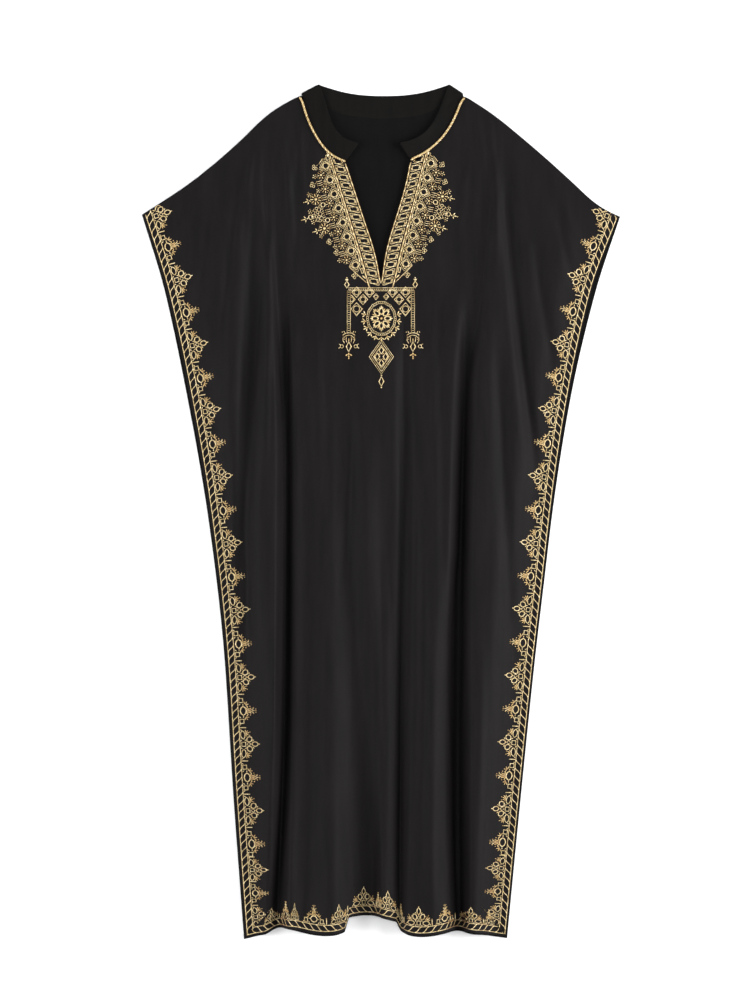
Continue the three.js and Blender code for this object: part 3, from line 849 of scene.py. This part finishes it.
def comb(length):
    """Three short bars of stitches side by side, along X."""
    bars = [couched([(-length / 2, y), (0, y + 0.3), (length / 2, y - 0.2)], 1.1) for y in (-3.1, 0, 3.1)]
    return motif("comb", (bars, [knot(length / 2 + 0.6, y, 0.8) for y in (-3.1, 0, 3.1)]))


def net():
    """Two waved threads with rings and short bars between them, across the foot of the lace's point."""
    waves = []
    for across, half in ((0, 14), (9.6, 10)):
        points = [(across + (1.5 if i % 2 else -1.5), -half + 2 * half * i / 8) for i in range(9)]
        waves.append(couched(points, 1.2))
    rings = [eyelet(4.8, y, 2.1, 1.1) for y in (-9.5, -3.4, 3.4, 9.5)]
    bars = [couched([(-4.6, y), (-1.6, y + 0.4)], 1.1) for y in (-9.6, -6.4, -3.2, 0, 3.2, 6.4, 9.6)]
    return motif("net", (waves + rings + bars, [knot(4.8, y, 0.9) for y in (-6.4, 0, 6.4)]))


# Flowers and beads of the lace beside the slit: the distance up the slit and out from it, and the turn
LACE = [
    # kind, up, out, turn in degrees
    ("ring_trefoil", 19, 36, 70),
    ("flower", 45, 40.5, 0),
    ("bead_sprig", 47, 50, 80),
    ("comb", 56, 43.5, 90),
    ("ring_trefoil", 60, 51.5, 75),
    ("flower", 67.5, 40.5, 20),
    ("bead_sprig", 69, 50.5, 80),
    ("comb", 78.5, 45.5, 90),
    ("ring_trefoil", 78.5, 57.5, 85),
    ("flower", 89.5, 40.5, 40),
    ("bead_sprig", 88.5, 50.5, 60),
    ("comb", 100.5, 45, 90),
    ("large_flower", 100, 58.5, 0),
    ("leaf_trefoil", 99.5, 71, 90),
    ("bead_sprig", 90.5, 66, 40),
    ("flower", 112, 40.5, 10),
    ("ring", 110.5, 50.5, 0),
    ("comb", 122.5, 45, 90),
    ("net", 122.5, 56.5, 90),
    ("bead_sprig", 122, 68.5, 90),
    ("ring", 122, 73.5, 0),
    ("leaf_trefoil", 121.5, 82, 90),
    ("bead_sprig", 113.5, 71.5, 50),
    ("bead_sprig", 130.5, 71.5, 130),
    ("flower", 134, 40.5, 30),
    ("ring", 134.5, 50.5, 0),
    ("comb", 144.5, 45, 90),
    ("large_flower", 145.5, 58.5, 20),
    ("leaf_trefoil", 146, 71, 90),
    ("bead_sprig", 155, 66, 140),
    ("flower", 156, 40.5, 0),
    ("bead_sprig", 157, 50.5, 120),
    ("comb", 167, 45.5, 90),
    ("ring_trefoil", 167.5, 57, 100),
    ("flower", 178, 40.5, 20),
    ("bead_sprig", 178.5, 50, 100),
    ("ring_trefoil", 191.5, 46.5, 115),
]
rung = ladder_cell()
diamond = diamond_cell()
diamond_crossing = crossing()
LACE_KINDS = {
    "flower": flower(7, 6.4),
    "large_flower": flower(9, 8.6),
    "ring_trefoil": ring_trefoil(),
    "leaf_trefoil": leaf_trefoil(),
    "bead_sprig": bead_sprig(),
    "comb": comb(7.6),
    "net": net(),
    "ring": motif("ring", ([eyelet(0, 0, 3.2, 1.5)], [])),
}


def slit_work(side, slit_top, outward):
    """The ladder, the diamonds and the lace along one edge of the slit."""
    run = Run(bed.edge_run(SLIT_FOOT, slit_top))
    straight = (run.point(run.length) - run.point(0)).normalized()
    foot = run.point(0)

    def place(u, v):
        at = foot + straight * u
        if 0 < u < run.length:
            at = run.point(u).lerp(at, smooth_blend(8, 24, v))
        x, y = at.x + outward * straight.y * v, at.y - outward * straight.x * v
        # Nothing is stitched over the bar or past the middle of the garment
        return (x, y) if y > BAR_Y + 0.8 and outward * x > 0.4 else None

    ladder = [lay(rung, lambda u, v, s=FIRST_RUNG + i * RUNG: place(s + u, v)) for i in range(RUNGS)]
    ladder += [
        lay(diamond, lambda u, v, s=FIRST_DIAMOND + i * DIAMOND: place(s + u, v)) for i in range(DIAMONDS)
    ]
    ladder += [
        lay(diamond_crossing, lambda u, v, s=FIRST_DIAMOND + i * DIAMOND: place(s + u, v))
        for i in range(DIAMONDS - 1)
    ]
    foot_stitches = [
        couched([(4, 21.6), (14, 27.6), (23, 33), (33, 39.2)], 1.4),
        window(FIRST_DIAMOND - DIAMOND / 2, 22.7, 3.6, 1.5, 1.7),
        leaf(13, 22.6, 7, 2.6, 0.5),
    ]
    top_stitches = [
        couched([(194.5, 39.0), (201, 31.4), (210, 21)], 1.4),
        couched([(186, 1.35), (202, 1.35)], 2.6, 1.3),
        leaf(204, 21.5, 8, 3, -0.7),
    ]
    ladder.append(lay(motif("slit ends", (foot_stitches + top_stitches, [])), place))
    lace = []
    for kind, up, out, turn in LACE:
        spin = Matrix.Rotation(math.radians(turn), 2)
        at = Vector((up, out))
        lace.append(lay(LACE_KINDS[kind], lambda x, y, a=at, r=spin: place(*(a + r @ Vector((x, y))))))
    return [embroidery(f"slit_ladder_{side}", ladder), embroidery(f"slit_lace_{side}", lace)]


stitched += slit_work("left", LEFT_SLIT_TOP, -1)
stitched += slit_work("right", RIGHT_SLIT_TOP, 1)

# The work below the slit, in the garment's own place

MEDALLION = (0.5, 288.9)
MEDALLION_TALL = 1.17  # how much taller than wide the medallion is
DIAMOND_DROP = (0.5, 231.3)
LATTICE = (9.7, 11.0)  # half the width and the height of a lattice diamond
LATTICE_MIDDLE = (27.0, 317.6)
FINIAL_X = 51.2  # how far out the finial at each end of the bar stands
# across, up and size of each diamond of the lattice
LATTICE_DIAMONDS = [(0, 0, 0.72), (1, -1.3, 0.86), (1, 1, 0.72), (-1, 1, 0.72), (1.8, 0, 0.6)]


def yoke():
    """The beaded bar under the slit, with a lattice of diamonds on each side."""
    pale = [couched([(x, BAR_Y + dy) for x in range(-50, 51, 10)], 1.0) for dy in (-2.2, 2.2)]
    pale += beads((-48, BAR_Y), (48, BAR_Y), 36, 1.0)
    old = []
    wide, tall = LATTICE
    middle_x, middle_y = LATTICE_MIDDLE
    for side in (-1, 1):
        for across, up, share in LATTICE_DIAMONDS:
            x, y = side * (middle_x + across * wide), middle_y + up * tall
            pale.append(rhomb(x, y, wide * share, tall * share, 1.7))
            pale.append(eyelet(x, y, 5.4 * share, 1.2))
            old.append(knot(x, y + tall * share * 0.88, 0.9))
        pale += [rhomb(side * 7.6, 321.8, 3.9, 4.7, 1.4), eyelet(side * 7.6, 321.8, 2.1, 0.8)]
        x, y = side * (middle_x + wide), middle_y - 1.3 * tall
        pale.append(couched([(x - wide, y + 0.8), (x, y - tall), (x + wide, y + 0.8)], 1.0))
        x = side * FINIAL_X
        pale += [rhomb(x, 340, 3.4, 5.2, 1.9), knot(x, 347, 1.7), knot(x, 350, 1.2)]
        pale.append(leaf(x - side * 1.6, 347.4, 3.4, 1.3, math.pi / 2 + 0.5))
        pale.append(leaf(x + side * 1.6, 347.4, 3.4, 1.3, math.pi / 2 - 0.5))
    return motif("yoke", (pale, old))


def in_yoke(x, y):
    """A place in the yoke, between the chains, or at the bar or above it, or none."""
    return (x, y) if abs(x) < 45.4 or y > BAR_Y - 3.4 else None


def round_the_medallion(angle, reach):
    return MEDALLION[0] + reach * math.cos(angle), MEDALLION[1] + reach * MEDALLION_TALL * math.sin(angle)


def medallion_work():
    """A rosette in a double ring, with groups of leaves round its lower side."""
    x, y = MEDALLION
    pale = [
        eyelet(x, y, reach * MEDALLION_TALL, 0.9, 1 / MEDALLION_TALL) for reach in (19.6, 22.4)
    ]
    for i in range(46):
        pale.append(knot(*round_the_medallion(2 * math.pi * i / 46, 21.0), 0.8, 0.9))
    old = [knot(x, y, 2.2, 1.8)]
    for i in range(8):
        angle = math.pi * (i / 4 + 0.5)
        px, py = round_the_medallion(angle, 9.4)
        pale.append(eyelet(px, py, 2.9, 1.7, 1.6, angle))
        px, py = round_the_medallion(angle, 15.0)
        pale.append(leaf(px, py, 4.6, 2.0, angle))
        between = angle + math.pi / 8
        px, py = round_the_medallion(between, 11.6)
        old.append(leaf(px, py, 6.0, 2.4, between))
        for lean in (-0.24, 0.24):
            px, py = round_the_medallion(between + lean, 14.0)
            pale.append(leaf(px, py, 4.0, 1.5, between + lean * 2.4))
    for i in range(11):
        angle = math.radians(-192 + 204 * i / 10)
        px, py = round_the_medallion(angle, 24.6)
        pale += spray(px, py, angle, 3, 3.8, 5.2, 2.2, 1.9)
        old.append(knot(px, py, 1.3))
    return motif("medallion", (pale, old))


def drop():
    """The diamond that hangs from the medallion, and the small drop below it."""
    x, y = DIAMOND_DROP
    pale = [rhomb(x, y, 18.2, 26.2, 1.2), rhomb(x, y, 11.6, 17.4, 1.6)]
    corners = [(-15.2, 0), (0, 22.2), (15.2, 0), (0, -22.2)]
    for (ax, ay), (bx, by) in zip(corners, corners[1:] + corners[:1]):
        pale += beads((x + ax, y + ay), (x + bx, y + by), 14, 0.9)
    old = []
    for dx, dy in ((0, 9.4), (0, -9.4), (6.2, 0), (-6.2, 0)):
        pale.append(rhomb(x + dx, y + dy, 3.6, 5.4, 2.0))
        at = (x + dx * 0.5 + dy * 0.3, y + dy * 0.5 - dx * 0.6)
        old.append(leaf(*at, 4.2, 1.6, math.atan2(dy - dx, dx + dy)))
    pale += [rhomb(x, 194.2, 3.6, 7.2, 2.1), knot(x, 203.2, 1.2), knot(x, 185.2, 1.3)]
    return motif("drop", (pale, old))


def tassel_chain(x):
    """A beaded chain from the end of the bar, and the flower spray that hangs from it."""
    pale = [couched([(x + dx, 331), (x + dx, 300), (x + dx, 268)], 0.8) for dx in (-2.4, 2.4)]
    pale += [leaf(x, 328.5 - 3.4 * i, 4.0, 1.0) for i in range(18)]
    crown = [(-9.4, 263.4), (-5, 266.6), (0, 267.4), (5, 266.6), (9.4, 263.4)]
    pale.append(couched([(x + dx, y) for dx, y in crown], 1.6))
    pale.append(couched([(x + dx * 0.8, y - 3.6) for dx, y in crown], 1.2))
    pale.append(rhomb(x, 246.4, 3.8, 7.4, 2.2))
    old = [leaf(x, 256.4, 6, 1.6, math.pi / 2), knot(x, 228.6, 1.2)]
    for side in (-1, 1):
        pale += [
            couched([(x + side * 8.4, 262), (x + side * 8.8, 256), (x + side * 6.4, 251.4)], 1.2),
            couched([(x + side * 3.6, 262), (x + side * 4.0, 257), (x + side * 3.2, 253)], 1.1),
            eyelet(x + side * 10.4, 246.8, 2.5, 1.2),
            leaf(x + side * 14.0, 244.6, 3.6, 1.5, math.radians(90 - side * 120)),
            leaf(x + side * 13.4, 249.8, 3.6, 1.4, math.radians(90 - side * 70)),
            leaf(x + side * 6.8, 268.6, 3.8, 1.3, math.radians(90 - side * 30)),
            knot(x + side * 9.8, 268.4, 0.9),
        ]
        old.append(leaf(x + side * 3.0, 234.0, 4.6, 2.4, math.radians(90 - side * 125)))
        old.append(knot(x + side * 6.6, 257.6, 0.9))
    old += [leaf(x, 235.6, 4.4, 2.4, math.pi / 2), leaf(x, 231.4, 4.4, 2.2, math.pi / 2)]
    return motif("chain", (pale, old))


def as_it_is(x, y):
    return x, y


stitched += [
    embroidery("slit_yoke", [lay(yoke(), in_yoke)]),
    embroidery("neck_medallion", [lay(medallion_work(), as_it_is)]),
    embroidery("diamond_drop", [lay(drop(), as_it_is)]),
    embroidery("chain_left", [lay(tassel_chain(-48.2), as_it_is)]),
    embroidery("chain_right", [lay(tassel_chain(47.8), as_it_is)]),
]

# Collar and cords


TUCK_FROM = 0.0045  # the collar slides under a panel where it is nearer than this to the panel's edge
TUCK_WHOLE = 0.0026  # and wholly so from here


def soft_collar():
    """The collar band, softened from the CAD band's form, with its seam edges tucked under the panels'."""
    band = new_piece("collar_cloth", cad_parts["collar_band"].data.copy())
    band.data.materials.clear()
    only(band)
    bpy.ops.object.mode_set(mode="EDIT")
    bpy.ops.mesh.select_all(action="SELECT")
    bpy.ops.mesh.remove_doubles(threshold=MERGE)
    bpy.ops.mesh.tris_convert_to_quads(face_threshold=math.radians(50), shape_threshold=math.pi)
    bpy.ops.object.mode_set(mode="OBJECT")
    finish_with(band, "SUBSURF", levels=2, render_levels=2)
    seams = KDTree(len(bed.places) + len(back_bed.places))
    for i, place in enumerate([*bed.places.values(), *back_bed.places.values()]):
        seams.insert(place, i)
    seams.balance()
    for vertex in band.data.vertices:
        edge, _, away = seams.find(vertex.co)
        if away > TUCK_FROM:
            continue
        outward = (edge - vertex.co).xy
        if outward.length > 0.0003:
            share = smooth_blend(TUCK_FROM, TUCK_WHOLE, away)
            pull = outward.normalized() * (outward.length + 0.0012) * share
            vertex.co += Vector((pull.x, pull.y, -0.0006))
            vertex.co.z = max(vertex.co.z, 0)
    return band


def twisted_cord(name, corner, slit_top):
    """Two strands of gold twisted round each other, over the collar's seam."""
    run = Run(bed.edge_run(corner, slit_top))
    strand_radius, twist_radius, lay_length = 0.95, 0.95, 6.4
    strands = []
    for phase in (0, math.pi):
        curve = bpy.data.curves.new(name, "CURVE")
        curve.dimensions = "3D"
        curve.bevel_depth = strand_radius * MM
        curve.bevel_resolution = 2
        curve.use_fill_caps = True
        line = curve.splines.new("POLY")
        count = int(run.length / 0.9)
        line.points.add(count - 1)
        for i in range(count):
            distance = 1.0 + (run.length - 1.5) * i / (count - 1)
            at = run.point(distance)
            ahead = run.direction(distance, 4)
            turn = phase + 2 * math.pi * distance / lay_length
            side = Vector((-ahead.y, ahead.x)) * math.cos(turn) * twist_radius
            middle = bed.skin.find_nearest(Vector((at.x * MM, at.y * MM, 0.006)))[0].z + 1.7 * MM
            line.points[i].co = (
                (at.x + side.x) * MM,
                (at.y + side.y) * MM,
                middle + math.sin(turn) * twist_radius * 0.8 * MM,
                1,
            )
        strand = new_piece(name, curve)
        only(strand)
        bpy.ops.object.convert(target="MESH")
        strand = bpy.context.object
        strand.data.materials.clear()
        strand.data.materials.append(pale_gold if phase else old_gold)
        strands.append(strand)
    only(strands[0])
    strands[1].select_set(True)
    bpy.ops.object.join()
    cord = bpy.context.object
    cord.name = name
    bpy.ops.object.shade_smooth()
    return cord


collar_cloth = soft_collar()
cord_left = twisted_cord("cord_left", LEFT_CORNER, LEFT_SLIT_TOP)
cord_right = twisted_cord("cord_right", RIGHT_CORNER, RIGHT_SLIT_TOP)

SHELL = 0.0014  # thickness of a cloth, metres
for sheet, material in ((front_cloth, black_rayon), (back_cloth, black_rayon_inside_shade)):
    finish_with(sheet, "SOLIDIFY", thickness=SHELL, offset=-1.0, use_even_offset=False)
    sheet.data.materials.append(material)
    only(sheet)
    bpy.ops.object.shade_smooth_by_angle(angle=math.radians(50))
collar_cloth.data.materials.append(black_collar)
only(collar_cloth)
bpy.ops.object.shade_smooth()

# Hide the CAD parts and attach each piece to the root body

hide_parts("front_panel")
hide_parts("back_panel")
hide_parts("collar_band")
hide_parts("neck_cord_left")
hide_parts("neck_cord_right")
for piece, name in (
    (front_cloth, "front_cloth"),
    (back_cloth, "back_cloth"),
    (collar_cloth, "collar_cloth"),
    (cord_left, "gold_cord"),
    (cord_right, "gold_cord"),
    *((piece, "gold_cord") for piece in stitched),
):
    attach(piece, "root")

# Pale surface and soft studio light

bpy.ops.mesh.primitive_plane_add(size=14, location=(0, 0, -0.0006))
surface = bpy.context.object
surface.name = "pale_surface"
paper, paper_shader = new_material("matt white paper", Roughness=0.9)
paper_shader.inputs["Base Color"].default_value = linear("#EFEFF0")
surface.data.materials.append(paper)


def softbox(name, place, size, power):
    lamp = bpy.data.lights.new(name, "AREA")
    lamp.shape = "RECTANGLE"
    lamp.size, lamp.size_y = size
    lamp.energy = power
    light = bpy.data.objects.new(name, lamp)
    bpy.context.scene.collection.objects.link(light)
    light.location = place
    light.rotation_euler = (Vector((0, 0, 0)) - Vector(place)).to_track_quat("-Z", "Y").to_euler()


softbox("right softbox", (3.2, 0.2, 1.7), (2.3, 2.3), 270)
softbox("left softbox", (-3.2, 0.1, 1.7), (2.4, 2.4), 160)
softbox("overhead softbox", (0.2, -0.2, 4.4), (1.6, 1.6), 70)
world = bpy.data.worlds.new("studio")
world.use_nodes = True
world.node_tree.nodes["Background"].inputs["Color"].default_value = (1, 1, 1, 1)
world.node_tree.nodes["Background"].inputs["Strength"].default_value = 0.3
bpy.context.scene.world = world
bpy.context.scene.view_settings.view_transform = "Standard"
